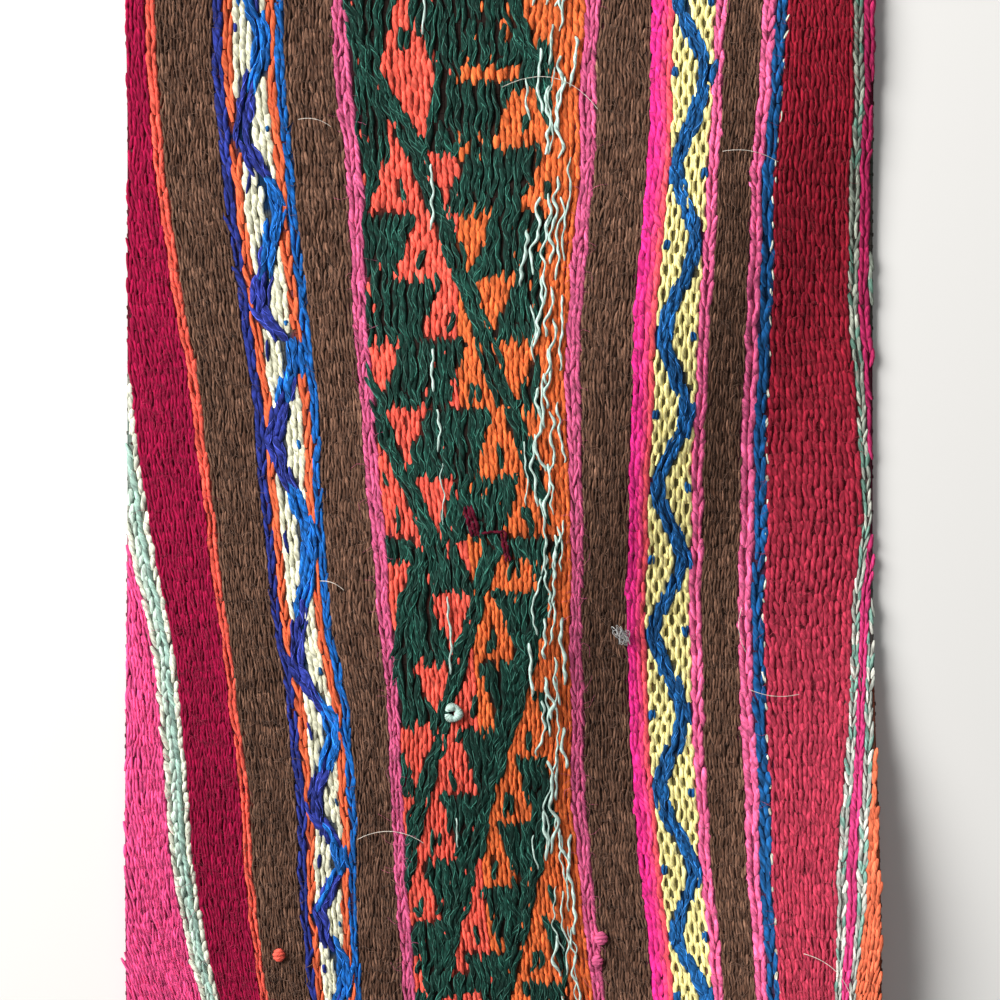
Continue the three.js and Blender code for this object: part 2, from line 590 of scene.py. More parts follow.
def atlas_place(batches):
    """Place of every point on the OFBake map: each yarn has a cell of its own."""
    lengths = [math.ceil((batch["points"].shape[1] - 1) / STATIONS_A_CELL) for batch in batches]
    cells = sum(len(batch["points"]) * length for batch, length in zip(batches, lengths))
    rows = max(math.ceil(math.sqrt(cells / 2)), max(lengths))
    first_column = 0
    places = []
    for batch, length in zip(batches, lengths):
        count, stations, around, _ = batch["points"].shape
        a_column = rows // length
        number = np.arange(count)
        u = np.linspace(CELL_MARGIN, 1 - CELL_MARGIN, around)
        v = np.linspace(CELL_MARGIN, 1 - CELL_MARGIN, stations) * length
        column = first_column + number // a_column
        row = (number % a_column) * length
        u = np.broadcast_to((column[:, None] + u)[:, None, :], (count, stations, around))
        v = np.broadcast_to((row[:, None] + v)[:, :, None], (count, stations, around))
        places.append(np.stack([u, v / rows], axis=-1).reshape(-1, 2))
        first_column += math.ceil(count / a_column)
    places = np.concatenate(places)
    places[:, 0] /= first_column
    return places


def grid_faces(count, stations, around):
    """Quads of many grids of points that follow one another."""
    corner = np.arange(stations * around).reshape(stations, around)
    quad = np.stack([corner[:-1, :-1], corner[:-1, 1:], corner[1:, 1:], corner[1:, :-1]], axis=-1)
    shift = np.arange(count)[:, None, None] * stations * around
    return (quad.reshape(1, -1, 4) + shift).reshape(-1, 4)


def add_object(name, data):
    """An object in the scene."""
    made = bpy.data.objects.new(name, data)
    bpy.context.scene.collection.objects.link(made)
    return made


def new_object(name, points, faces, colours, maps, material):
    """A smooth mesh object from arrays, with its yarn colours and maps."""
    mesh = bpy.data.meshes.new(name)
    mesh.from_pydata(points * MM, [], faces)
    layer = mesh.color_attributes.new("yarn_colour", "FLOAT_COLOR", "POINT")
    opaque = np.ones((len(points), 1))
    layer.data.foreach_set("color", np.concatenate([colours, opaque], axis=1).ravel())
    corner = np.asarray(faces).ravel()
    for map_name, places in maps.items():
        uv = mesh.uv_layers.new(name=map_name)
        uv.data.foreach_set("uv", places[corner].ravel())
    mesh.materials.append(material)
    mesh.shade_smooth()
    return add_object(name, mesh)


def yarn_piece(name, batches, material):
    """One piece of many yarns, joined from batches."""
    points = np.concatenate([batch["points"].reshape(-1, 3) for batch in batches])
    faces = []
    colours = []
    yarn_map = []
    first = 0
    for batch in batches:
        count, stations, around, _ = batch["points"].shape
        faces.append(grid_faces(count, stations, around) + first)
        first += count * stations * around
        shape = (count, stations, around)
        # Each point's painted shade darkens its yarn's colour
        shaded = batch["colours"][:, None, None] * batch["shade"][..., None]
        colours.append(shaded.reshape(-1, 3))
        u = np.broadcast_to(np.linspace(0, 1, around), shape)
        start = dice.uniform(0, YARN_OFFSETS, (count, 1))
        v = np.broadcast_to((batch["along"] + start)[:, :, None], shape)
        yarn_map.append(np.stack([u, v], axis=-1).reshape(-1, 2))
    maps = {"Yarn": np.concatenate(yarn_map), "OFBake": atlas_place(batches)}
    piece = new_object(name, points, np.concatenate(faces), np.concatenate(colours), maps, material)
    return stands_for_panel(piece)


def stands_for_panel(piece):
    """The piece, attached to the root body, with the panel's solid hidden."""
    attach(piece, BODY)
    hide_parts(NODE)
    return piece


# Materials


def add_node(tree, kind, links=None, values=None, **settings):
    """A shader node with its settings, its constant inputs and its linked inputs."""
    made = tree.nodes.new(kind)
    for name, value in settings.items():
        setattr(made, name, value)
    for socket, value in (values or {}).items():
        made.inputs[socket].default_value = value
    for socket, source in (links or {}).items():
        tree.links.new(source, made.inputs[socket])
    return made


def yarn_material(name, roughness, specular):
    """A material with its shader's constants, and its map of the yarns."""
    material = bpy.data.materials.new(name)
    material.use_nodes = True
    tree = material.node_tree
    shader = tree.nodes["Principled BSDF"]
    shader.inputs["Roughness"].default_value = roughness
    shader.inputs["Specular IOR Level"].default_value = specular
    return material, tree, shader, add_node(tree, "ShaderNodeUVMap", uv_map="Yarn").outputs["UV"]


def colour_and_emboss(tree, shader, fibre, shades, relief, bump, depth, invert=False):
    """Colours a material by its yarns' colours, which carry their painted shade, lighter and darker with a
    fibre noise, and embosses it with a relief.
    Shades are the noise values at the darkest and palest place, and the share of the colour there."""
    colour = add_node(tree, "ShaderNodeVertexColor", layer_name="yarn_colour")
    limits = dict(zip(("From Min", "From Max", "To Min", "To Max"), shades))
    shade = add_node(tree, "ShaderNodeMapRange", {"Value": fibre.outputs["Fac"]}, limits)
    coloured = add_node(tree, "ShaderNodeVectorMath",
                    {0: colour.outputs["Color"], "Scale": shade.outputs["Result"]}, operation="SCALE")
    height = add_node(tree, "ShaderNodeBump", {"Height": relief.outputs["Fac"]},
                      {"Strength": bump, "Distance": depth}, invert=invert)
    tree.links.new(coloured.outputs["Vector"], shader.inputs["Base Color"])
    tree.links.new(height.outputs["Normal"], shader.inputs["Normal"])


# Fibre streaks, partly the fibres' own lighter and darker tone and partly painted glints on their pale side:
# how many across a yarn and how far they shift around it in a millimetre, and how many end to end in a
# millimetre
STREAKS_ACROSS = (2.2, 0.9, 0.0)
STREAKS_ALONG = (0.0, 0.4, 0.0)


def spun_material(name, roughness, sheen, darkest, palest, bump):
    """Spun yarn: its colour attribute, with fine fibre streaks that slant with its twist. The streaks are
    partly the fibres' own tone and partly painted glints, up to palest times the colour.
    """
    material, tree, shader, place = yarn_material(name, roughness, specular=0.15)
    shader.inputs["Sheen Weight"].default_value = sheen
    shader.inputs["Sheen Roughness"].default_value = 0.45
    across, along = (
        add_node(tree, "ShaderNodeVectorMath", {0: place}, {1: streaks}, operation="DOT_PRODUCT")
        for streaks in (STREAKS_ACROSS, STREAKS_ALONG))
    slanted = add_node(tree, "ShaderNodeCombineXYZ",
                       {"X": across.outputs["Value"], "Y": along.outputs["Value"]})
    fibre = add_node(tree, "ShaderNodeTexNoise", {"Vector": slanted.outputs["Vector"]},
                     {"Scale": 1.0, "Detail": 2.0, "Roughness": 0.6})
    colour_and_emboss(tree, shader, fibre, (0.30, 0.72, darkest, palest), fibre, bump, depth=0.00035)
    return material


bright_yarn = spun_material("bright_yarn", roughness=0.88, sheen=0.08, darkest=0.60, palest=1.55, bump=0.9)
figure_yarn = spun_material("figure_yarn", roughness=0.80, sheen=0.10, darkest=0.45, palest=2.20, bump=1.0)
brown_wool = spun_material("brown_wool", roughness=0.95, sheen=0.14, darkest=0.40, palest=2.00, bump=0.9)


def ground_material():
    """The weave under the face yarns: their colours, with a brick pattern of stitches in low relief."""
    material, tree, shader, place = yarn_material("woven_ground", roughness=0.92, specular=0.2)
    stitches = add_node(tree, "ShaderNodeTexBrick", {"Vector": place},
                        {"Scale": 1.0, "Mortar Size": 0.12, "Mortar Smooth": 1.0, "Brick Width": 2.0,
                         "Row Height": 1.0})
    fibre = add_node(tree, "ShaderNodeTexNoise", {"Vector": place}, {"Scale": 3.0, "Detail": 3.0})
    colour_and_emboss(tree, shader, fibre, (0.3, 0.7, 0.7, 1.2), stitches, bump=0.8, depth=0.0003,
                   invert=True)
    return material


# The sheet under the face yarns

FACE_DEPTH = 0.42
SHEET_CELLS_ACROSS = 92
SHEET_CELLS_ALONG = 140
# Painted shade of the sheet in the gaps between yarns and, darker, in figured bands' gaps; the share of its
# colour kept at the back; and its unevenness
GAP_SHADE = 0.30
FIGURED_GAP_SHADE = 0.14
BACK_SHADE = 0.85
SHEET_UNEVENNESS = 0.03


def column_number(x, y):
    """Number of the column at each point of a grid whose rows run across the cloth, as a fraction."""
    every = np.arange(len(COLUMNS))
    lines = column_x(every, np.tile(y[:, 0], (len(every), 1)))
    return np.array([np.interp(x[row], lines[:, row], every) for row in range(len(x))])


def sheet_colours(column, along):
    """Colours of the sheet: those of the columns, or of the weft or the blue figure yarn where figures cover
    them. Figured bands' bare ground gets deeper painted shade.
    """
    colours = stitch_colours(column, along, SHEET_UNEVENNESS)
    over = covered(column, along)
    wide = STRIPE[column] == "wide_figure"
    colours[over & wide] = PALETTE["weft"]
    colours[over & ~wide] = PALETTE["zigzag_blue"]
    # Painted shade: the bare ground of the figured bands is darker still
    figured = np.isin(STRIPE[column], ("wide_figure", "side_figure", "zigzag")) & ~over
    return colours * np.where(figured, FIGURED_GAP_SHADE / GAP_SHADE, 1)[:, None]


def woven_sheet():
    """A closed thin sheet in the shape of the cloth, below the face yarns."""
    across = np.linspace(-HALF_WIDTH, HALF_WIDTH, SHEET_CELLS_ACROSS + 1)
    along = np.linspace(-HALF_LENGTH, HALF_LENGTH, SHEET_CELLS_ALONG + 1)
    x, y = np.meshgrid(across, along)
    column = column_number(x, y)
    colours = sheet_colours(np.rint(column).astype(int).ravel(), y.ravel())
    upper = np.stack([x, y, face_height(x, y) - FACE_DEPTH], axis=-1).reshape(-1, 3)
    lower = np.stack([x, y, lift(x, y)], axis=-1).reshape(-1, 3)
    top = grid_faces(1, *x.shape)
    bottom = top[:, ::-1] + len(upper)
    number = np.arange(x.size).reshape(x.shape)
    rim = np.concatenate([number[0, :-1], number[:-1, -1], number[-1, :0:-1], number[:0:-1, 0]])
    ahead = np.roll(rim, -1)
    sides = np.stack([rim, rim + len(upper), ahead + len(upper), ahead], axis=-1)
    faces = np.concatenate([top, bottom, sides])
    place = np.stack([pick_number(y), column], axis=-1).reshape(-1, 2)
    maps = {"Yarn": np.concatenate([place, place])}
    # Painted shade: the upper side, seen only in the gaps between yarns, is darkened
    shaded = np.concatenate([colours * GAP_SHADE, colours * BACK_SHADE])
    points = np.concatenate([upper, lower])
    return stands_for_panel(new_object("woven_sheet", points, faces, shaded, maps, ground_material()))


# Face stitches. In each stripe: heights of the crest and of the two edges above the face, half width in
# pitches, half length in row spacings, width of the ends as a share of the middle, share of the height that
# the ends lose, how much the plies show, rows from stitch to stitch in a column, sideways lean and bow, and
# how these two turn round: never, from column to column as in a chain, or from row to row too as in a net
STYLE_COLUMNS = ("crest", "low", "half", "reach", "ends", "dip", "ply", "every", "lean", "bow", "turning")
NEVER = 0
CHAIN = 1
NET = 2
PINK_CHAIN = (0.04, -0.36, 0.53, 0.82, 0.42, 0.8, 0.6, 1, 0.14, 0.07, CHAIN)
STITCH_STYLES = {
    "rose_field": (0.00, -0.28, 0.57, 0.76, 0.50, 1.0, 0.5, 1, 0.05, 0.00, NEVER),
    "white_line": (0.10, -0.38, 0.52, 0.70, 0.45, 0.8, 0.6, 1, 0.18, 0.06, CHAIN),
    "pale_edge": (0.06, -0.38, 0.44, 0.72, 0.45, 0.8, 0.8, 1, 0.14, 0.05, CHAIN),
    "crimson": (0.00, -0.28, 0.57, 0.76, 0.50, 1.0, 0.6, 1, 0.04, 0.00, NEVER),
    "coral_line": (0.02, -0.34, 0.50, 0.76, 0.40, 0.8, 0.6, 1, 0.08, 0.00, CHAIN),
    "brown": (0.00, -0.30, 0.54, 0.72, 0.30, 1.0, 1.0, 1, 0.04, 0.00, NEVER),
    "royal_line": (0.08, -0.38, 0.56, 1.10, 0.55, 0.6, 1.0, 2, 0.10, 0.00, CHAIN),
    "orange_line": (0.04, -0.34, 0.58, 1.10, 0.55, 0.5, 0.7, 2, 0.07, 0.00, CHAIN),
    "side_figure": (0.06, -0.40, 0.54, 0.80, 0.40, 0.8, 0.5, 1, 0.00, 0.10, NET),
    "sky_line": (0.04, -0.34, 0.58, 1.10, 0.55, 0.5, 1.0, 2, 0.07, 0.00, CHAIN),
    "pink_line": PINK_CHAIN,
    "right_pink": PINK_CHAIN,
    "wide_figure": (0.00, -0.40, 0.52, 0.76, 0.42, 0.8, 0.8, 1, 0.00, 0.10, NET),
    "edge_line": PINK_CHAIN,
    "neon_line": (0.02, -0.22, 0.62, 0.86, 0.55, 0.8, 0.3, 1, 0.02, 0.00, NEVER),
    "zigzag": (0.05, -0.44, 0.49, 0.62, 0.75, 0.4, 0.25, 1, 0.00, 0.27, NET),
    "blue_line": (0.08, -0.40, 0.54, 1.12, 0.55, 0.6, 1.0, 2, 0.13, 0.00, CHAIN),
    "red": (0.02, -0.32, 0.55, 0.70, 0.42, 1.0, 0.8, 1, -0.04, 0.00, NEVER),
    "orange_field": (0.00, -0.30, 0.56, 0.74, 0.45, 1.0, 0.4, 1, 0.04, 0.00, NEVER),
}
STITCH_STATIONS = np.array([-1.0, -0.58, 0.0, 0.58, 1.0])
# A stitch's crest falls to its two ends by this power, and there by slightly more than its dip
FALL_POWER = 2.4
FALL = 1.02
# Ground stitches that show through the wide band's figures: their share, their size and their further rise
SHOWING_THROUGH = 0.09
SHOWING_SIZE = 0.6
SHOWING_RISE = 0.12
EDGE_SLACK = 0.15
# Sideways shift of plain stitches from row to row, in pitches, and shift along of figured ones from column to
# column, in row spacings
TWO_SHED_SHIFT = 0.07
STAGGER = 0.22
STAGGERED = ("wide_figure", "side_figure")
# Chance in each stitch's measures, of which nets have a smaller share, and in its width, height and colour
STITCH_CHANCE = {"reach": 0.14, "row": 0.11, "lean": 0.10, "shed": 0.08, "bow": 0.10}
NET_SHARE_OF_CHANCE = 0.5
STITCH_WIDTH_CHANCE = 0.13
STITCH_HEIGHT_CHANCE = 0.06
STITCH_UNEVENNESS = 0.14
# The weft is never beaten up quite straight: amplitudes in rows, and angles for each column and each row
ROW_WAVES = [(0.16, 0.21, 0.23), (0.12, 0.37, -0.31)]


def stitch_list(stripes):
    """Column and row of every face stitch in some stripes."""
    chosen = np.flatnonzero(np.isin(STRIPE, stripes))
    column, row = np.meshgrid(chosen, np.arange(1, ROWS - 1))
    column = column.ravel()
    row = row.ravel()
    every = np.array([STITCH_STYLES[name][STYLE_COLUMNS.index("every")] for name in STRIPE[column]])
    up = (PLACE[column] + row) % every == 0
    return column[up], row[up]


def row_wave(column, row):
    """How far a row strays along the cloth at a column, in rows."""
    return sum(amplitude * np.sin(by_column * column + by_row * row)
               for amplitude, by_column, by_row in ROW_WAVES)


def face_stitches(*stripes, arc=ARC):
    """A batch of all the face stitches of some stripes that lie on the cloth."""
    column, row = stitch_list(stripes)
    middle = ROW_LINES[row]
    under = covered(column, middle)
    shows = (STRIPE[column] == "wide_figure") & (dice.random(len(column)) < SHOWING_THROUGH)
    inside = np.abs(column_x(column, middle[:, None])[:, 0]) < HALF_WIDTH - EDGE_SLACK
    kept = inside & (shows | ~under)
    column, row, under, middle = (each[kept] for each in (column, row, under, middle))
    count = len(column)
    styles = np.array([STITCH_STYLES[name] for name in STRIPE[column]])
    style = dict(zip(STYLE_COLUMNS, styles.T))
    in_net = style["turning"] == NET
    share_of_chance = np.where(in_net, NET_SHARE_OF_CHANCE, 1.0)

    def chance(measure):
        return dice.normal(0, STITCH_CHANCE[measure] * share_of_chance)

    spacing = (ROW_LINES[row - 1] - ROW_LINES[row + 1]) / 2
    size = np.where(under, SHOWING_SIZE, 1)
    reach = spacing * style["reach"] * size * (1 + chance("reach"))
    middle = middle + spacing * (row_wave(column, row) + chance("row"))
    s = STITCH_STATIONS[None, :]
    by_column = (-1.0) ** (PLACE[column] + 1)
    middle = middle + STAGGER * spacing * by_column * np.isin(STRIPE[column], STAGGERED)
    y = middle[:, None] + reach[:, None] * s
    pitch = column_pitch(column, y)
    by_row = by_column * (-1.0) ** row
    turned = np.select([style["turning"] == CHAIN, in_net], [by_column, by_row], 1)
    lean = style["lean"] * turned + chance("lean")
    shed = TWO_SHED_SHIFT * (-1.0) ** row * (style["turning"] == NEVER) + chance("shed")
    bow = (style["bow"] * turned + chance("bow"))[:, None] * (1 - s ** 2)
    x = column_x(column, y) + (lean * reach)[:, None] * s + (shed[:, None] + bow) * pitch
    taper = 1 - (1 - style["ends"])[:, None] * s ** 2
    half = pitch * (style["half"] * size * dice.normal(1, STITCH_WIDTH_CHANCE, count))[:, None] * taper
    low = np.tile(style["low"][:, None], (1, len(STITCH_STATIONS)))
    rise = style["crest"] - style["low"] + dice.normal(0, STITCH_HEIGHT_CHANCE, count) + SHOWING_RISE * under
    crest = low + rise[:, None] * (1 - style["dip"][:, None] * np.abs(s) ** FALL_POWER * FALL)
    colours = stitch_colours(column, middle, STITCH_UNEVENNESS)
    return half_round(x, y, half, crest, low, colours, style["ply"], arc)


# Figure yarns, where they lie on top of a figured band's ground

FLOAT_STATIONS = np.linspace(-1, 1, 9)
FLOAT_LOW = -0.44
# Chance in each float: its bow to one side and as an S, in shares of its sway, and its width, rise and colour
FLOAT_CHANCE = {"bow": 1.0, "s_bow": 0.5, "half": 0.16, "rise": 0.10, "colour": 0.24}
# Kinds of float: half width, height of the crest above the face, and sideways sway
FLOAT_STYLES = {
    "green": {"half": 0.48, "crest": 0.22, "sway": 0.18},
    "snake": {"half": 0.50, "crest": 0.22, "sway": 0.12},
    "zigzag": {"half": 0.46, "crest": 0.21, "sway": 0.09},
    "eye": {"half": 0.36, "crest": 0.30, "sway": 0.05},
    "dot": {"half": 0.24, "crest": 0.02, "sway": 0.05},
}
SWAY_WAVES = [(33.0, 0.9), (12.5, 0.9), (5.2, 1.1)]
SWAY_LAG = 0.28

# Lines of floats: their lanes, the shortest and longest float, how closely floats follow the line, and how
# far they stray from it. The wide band's lanes are in chart ends. All end 1 mm inside the cut edges.
FLOAT_LINES = {
    "wide": {"lanes": (0.4, 1.35, 2.3, 3.25), "lengths": (4.0, 7.0), "follow": 1.0, "strays": 0.15},
    "snake": {"lanes": (-1.45, -0.5, 0.5, 1.45), "lengths": (3.8, 7.0), "follow": 0.95, "strays": 0.25},
    "zigzag": {"lanes": (-1.25, -0.42, 0.42, 1.25), "lengths": (2.6, 4.8), "follow": 0.85, "strays": 0.16},
}
LINES_REACH = HALF_LENGTH - 1
FLOAT_OVERLAP = 0.35


def lane_floats(kind, centre, span, colour, lane_scale=1.0):
    """Floats laid end to end in the lanes of a line, far to near over a span of the cloth: the place in the
    band of each one's middle, its drift to the far end, its two ends and its colour."""
    line = FLOAT_LINES[kind]
    floats = []
    for lane in line["lanes"]:
        top = span[0] - dice.uniform(0, line["lengths"][0])
        while top > span[1] + 2 * FLOAT_OVERLAP:
            foot = max(top - dice.uniform(*line["lengths"]), span[1])
            middle = (top + foot) / 2
            place = centre(middle) + lane * lane_scale + dice.normal(0, line["strays"])
            drift = line["follow"] * (centre(top) - centre(foot)) / 2 + dice.normal(0, line["strays"])
            floats.append((place, drift, top + FLOAT_OVERLAP, foot - FLOAT_OVERLAP, colour(middle)))
            top = foot
    return floats


def wide_fill_floats(overlaps=(0.1, 1.3), tied_after=(5, 12), strays=0.2, drift=0.25, turn_fill=5):
    """The upright floats that fill the wide band's figures, each tied down after a few picks. Near the turn
    they fill the slanting lines too."""
    floats = []
    count = BANDS["wide_figure"]["count"]
    picks = np.arange(PICKS)
    near_turn = np.abs(picks - TURN_PICK) < turn_fill
    for place in (np.arange(count) + 0.5) / count * BANDS["wide_figure"]["width"]:
        chart = wide_chart(np.full(PICKS, wide_end(place)), picks)
        start = None
        limit = 0
        for pick, up in enumerate((chart == FIGURE) | ((chart == LINE) & near_turn)):
            if up and start is None:
                start = pick
                limit = dice.integers(*tied_after)
            if start is not None and (not up or pick - start >= limit or pick == PICKS - 1):
                top = PICK_LINES[start] + dice.uniform(*overlaps)
                foot = PICK_LINES[pick] - dice.uniform(*overlaps)
                strayed = place + dice.normal(0, strays)
                floats.append((strayed, dice.normal(0, drift), top, foot, "green"))
                start = None
    return floats


def wide_line_floats(lines=(-2, -1, 0, 1), margin=0.5, past=1):
    """The floats that follow the wide band's slanting lines. They keep a margin from its left edge and its
    right strip, and floats farther past those are left out."""
    floats = []
    turn = np.interp(TURN_PICK, np.arange(PICKS), PICK_LINES)
    ends_to_places = BANDS["wide_figure"]["width"] / WIDE_ENDS
    for half, span in ((FAR_HALF, (LINES_REACH, turn)), (NEAR_HALF, (turn, -LINES_REACH))):
        for number in lines:
            def centre(along):
                away = abs(pick_number(along) - TURN_PICK)
                return (TURN_END - half["slope"] * away + number * half["spacing"]) * ends_to_places

            floats += lane_floats("wide", centre, span, lambda along: "green", ends_to_places)
    last = (RIGHT_STRIP_FROM - margin) * ends_to_places
    return [(np.clip(each[0], margin, last), *each[1:]) for each in floats if -past < each[0] < last + past]


def swinging_floats(kind, line, colour):
    """The floats of a narrow band's swinging blue line."""
    def centre(along):
        return float(swing_place(line, along))

    return lane_floats(kind, centre, (LINES_REACH, -LINES_REACH), colour)


def snake_colour(along, mixing=0.7):
    """The colour of a float of the side band's line, which is darker at its left."""
    place = float(swing_place(SNAKE, along)) + dice.normal(0, mixing)
    return "royal" if place < SNAKE["middle"] else "bright_blue"


# Eyes in the side band, at its left and right by turns: place, range of half length, and colour
SNAKE_EYES = [(0.9, (0.8, 2.4), "royal"), (6.1, (0.5, 1.0), "zigzag_blue")]


def snake_eyes(strays=1.5, drift=0.3, margin=3):
    """Small eyes in the pale ground of the side band, opposite the turns of its blue line."""
    eyes = []
    for number, turn in enumerate(SNAKE["turns"]):
        place, halves, colour = SNAKE_EYES[number % 2]
        middle = turn + dice.normal(0, strays)
        if abs(middle) < HALF_LENGTH - margin:
            half = dice.uniform(*halves)
            eyes.append((place, dice.normal(0, drift), middle + half, middle - half, colour))
    return eyes


def zigzag_eyes(inset=1.0, strands=(-0.35, 0.35), length=1.9, shares=(0.8, 1.2), drift=0.15):
    """A small eye of two strands opposite each turn of the zigzag band's blue line."""
    eyes = []
    places = (inset, BANDS["zigzag"]["width"] - inset)
    for number, turn in enumerate(ZIGZAG["turns"]):
        if abs(turn) < HALF_LENGTH - length:
            for strand in strands:
                place = places[number % 2] + strand
                half = length / 2 * dice.uniform(*shares)
                eyes.append((place, dice.normal(0, drift), turn + half, turn - half, "zigzag_blue"))
    return eyes


def edge_dots(spacing=(2.2, 5.6), halves=(0.45, 1.15), past=(-0.05, 0.12), drift=0.25, margin=3):
    """The small white stitches along the right edge of the blue line."""
    dots = []
    along = HALF_LENGTH - margin
    while along > -HALF_LENGTH + margin:
        half = dice.uniform(*halves)
        place = BANDS["blue_line"]["width"] + dice.normal(*past)
        dots.append((place, dice.normal(0, drift), along + half, along - half, "white"))
        along -= dice.uniform(*spacing)
    return dots


def sway(place, along):
    """Unsteady sideways sway of figure yarns. Neighbours sway nearly together."""
    moved = np.zeros_like(along)
    for length, amplitude in SWAY_WAVES:
        moved = moved + amplitude * np.sin(2 * np.pi * along / length + SWAY_LAG * place + length)
    return moved


def figure_floats(band, kind, floats, narrowing=0.6, dip=0.85, power=4):
    """A batch of one kind of floating yarn in a band. Its ends narrow and dip."""
    style = FLOAT_STYLES[kind]
    place, drift, top, foot = (np.array([each[column] for each in floats])[:, None] for column in range(4))

    def chance(measure):
        return dice.normal(0, FLOAT_CHANCE[measure], (len(floats), 1))

    s = FLOAT_STATIONS[None, :]
    ends = np.abs(s) ** power
    y = (top + foot) / 2 + (top - foot) / 2 * s
    bow = chance("bow") * (1 - s ** 2) + chance("s_bow") * s * (1 - s ** 2)
    x = band_x(band, place + drift * s, y) + style["sway"] * (sway(place, y) + bow)
    half = style["half"] * (1 + chance("half")) * (1 - narrowing * ends)
    low = np.full_like(y, FLOAT_LOW)
    crest = FLOAT_LOW + (style["crest"] - FLOAT_LOW + chance("rise")) * (1 - dip * ends)
    colours = yarn_colours([each[4] for each in floats], FLOAT_CHANCE["colour"])
    return half_round(x, y, half, crest, low, colours, np.ones(len(floats)))


def highlight_fibres(batch, paler, grey=0.03, thickest=0.085, shares=(0.4, 1.2), narrowing=0.7, power=3, wave=6.5,
                stands_off=0.03):
    """A batch of fine fibres that swing from side to side along the yarns of a batch. Their colour, many
    times paler than the yarns', is a painted highlight on the yarns' ply edges.
    """
    points = batch["points"]
    inner_points = points.shape[2] - 3
    swing = 0.5 + 0.5 * np.sin(2 * np.pi * (batch["along"] / wave + dice.random((len(points), 1))))
    place = 1 + swing * inner_points
    left = np.minimum(place.astype(int), inner_points)
    mix = (place - left)[..., None]
    yarn, station = np.indices(left.shape)
    path = points[yarn, station, left] * (1 - mix) + points[yarn, station, left + 1] * mix
    path[..., 2] += stands_off
    ends = np.abs(np.linspace(-1, 1, points.shape[1])) ** power
    radius = thickest * dice.uniform(*shares, (len(points), 1)) * (1 - narrowing * ends)
    return round_yarn(path, radius, batch["colours"] * paler + grey, FINE_SIDES)


# Loose pale threads over the wide band: the chart end where each wanders, how much it wanders, its shortest
# and longest stretch on top, and the shortest and longest gap between stretches
LOOSE_LANES = [
    (32.3, 0.70, (5, 11), (10, 26)),
    (34.4, 0.90, (5, 14), (5, 14)),
    (36.0, 0.90, (6, 16), (3, 9)),
    (36.6, 0.90, (6, 16), (4, 12)),
    (38.0, 0.90, (7, 18), (2, 8)),
    (38.5, 0.90, (6, 16), (4, 12)),
    (40.2, 0.70, (6, 18), (5, 14)),
]
# One more thread shows at the left of the band in a few stretches: their far and near ends along the cloth
LEFT_THREAD = {"end": 13.4, "wander": 0.60}
LEFT_STRETCHES = [(84, 78), (56, 45), (25, 18), (15, 8), (6, -5), (-16, -29), (-53, -58)]
# Waves that a loose thread wanders on: their lengths and amplitudes
LOOSE_WAVES = [(26.0, 0.45), (11.0, 0.40), (6.1, 0.30), (3.7, 0.18), (2.3, 0.08)]


def loose_threads(margin=8, stations=60, wave_lengths=(0.75, 1.3), wave_widths=(0.3, 1.3), height=0.38,
                  height_chance=0.10, dive_power=10, dive_depth=0.25, dive_narrowing=0.3, thickness=0.22,
                  thickness_chance=0.20, slub_spacing=3.1, slub_share=0.22, slub_shift=9, unevenness=0.09):
    """A batch of pale threads with thick and thin places (slubs). They wander over the wide band and dive at
    both ends of each stretch."""
    stretches = [(LEFT_THREAD["end"], LEFT_THREAD["wander"], *ends) for ends in LEFT_STRETCHES]
    for end, wander, lengths, gaps in LOOSE_LANES:
        along = HALF_LENGTH - dice.uniform(0, margin)
        while along > -HALF_LENGTH + margin:
            stretch = min(dice.uniform(*lengths), along + LINES_REACH)
            stretches.append((end, wander, along, along - stretch))
            along -= stretch + dice.uniform(*gaps)
    end, wander, top, foot = (column[:, None] for column in np.array(stretches).T)
    each = (len(stretches), 1)
    s = np.linspace(0, 1, stations)[None, :]
    y = top + (foot - top) * s
    moved = np.zeros_like(y)
    for longest, widest in LOOSE_WAVES:
        length = longest * dice.uniform(*wave_lengths, each)
        amplitude = widest * dice.uniform(*wave_widths, each)
        moved = moved + amplitude * np.sin(2 * np.pi * y / length + dice.uniform(0, 2 * np.pi, each))
    x = band_x("wide_figure", end / WIDE_ENDS * BANDS["wide_figure"]["width"], y) + wander * moved
    dive = 1 - np.abs(2 * s - 1) ** dive_power
    z = face_height(x, y) + (height + dice.normal(0, height_chance, each)) * dive - dive_depth * (1 - dive)
    slubs = 1 + slub_share * np.sin(2 * np.pi * y / slub_spacing + slub_shift * end)
    radius = thickness * dice.normal(1, thickness_chance, each) * (1 - dive_narrowing * (1 - dive)) * slubs
    colours = yarn_colours(np.full(len(stretches), "pale_mint"), unevenness)
    return round_yarn(np.stack([x, y, z], axis=-1), radius, colours, STRAND_SIDES)


# Cut edges: yarn ends stand a little past the sheet

FRAY_STATIONS = np.linspace(0, 1, 5)


def outward(side):
    """Stations from 0 inside an edge to 1 past it, in the order that keeps the yarns' faces outward."""
    return FRAY_STATIONS if side > 0 else FRAY_STATIONS[::-1]


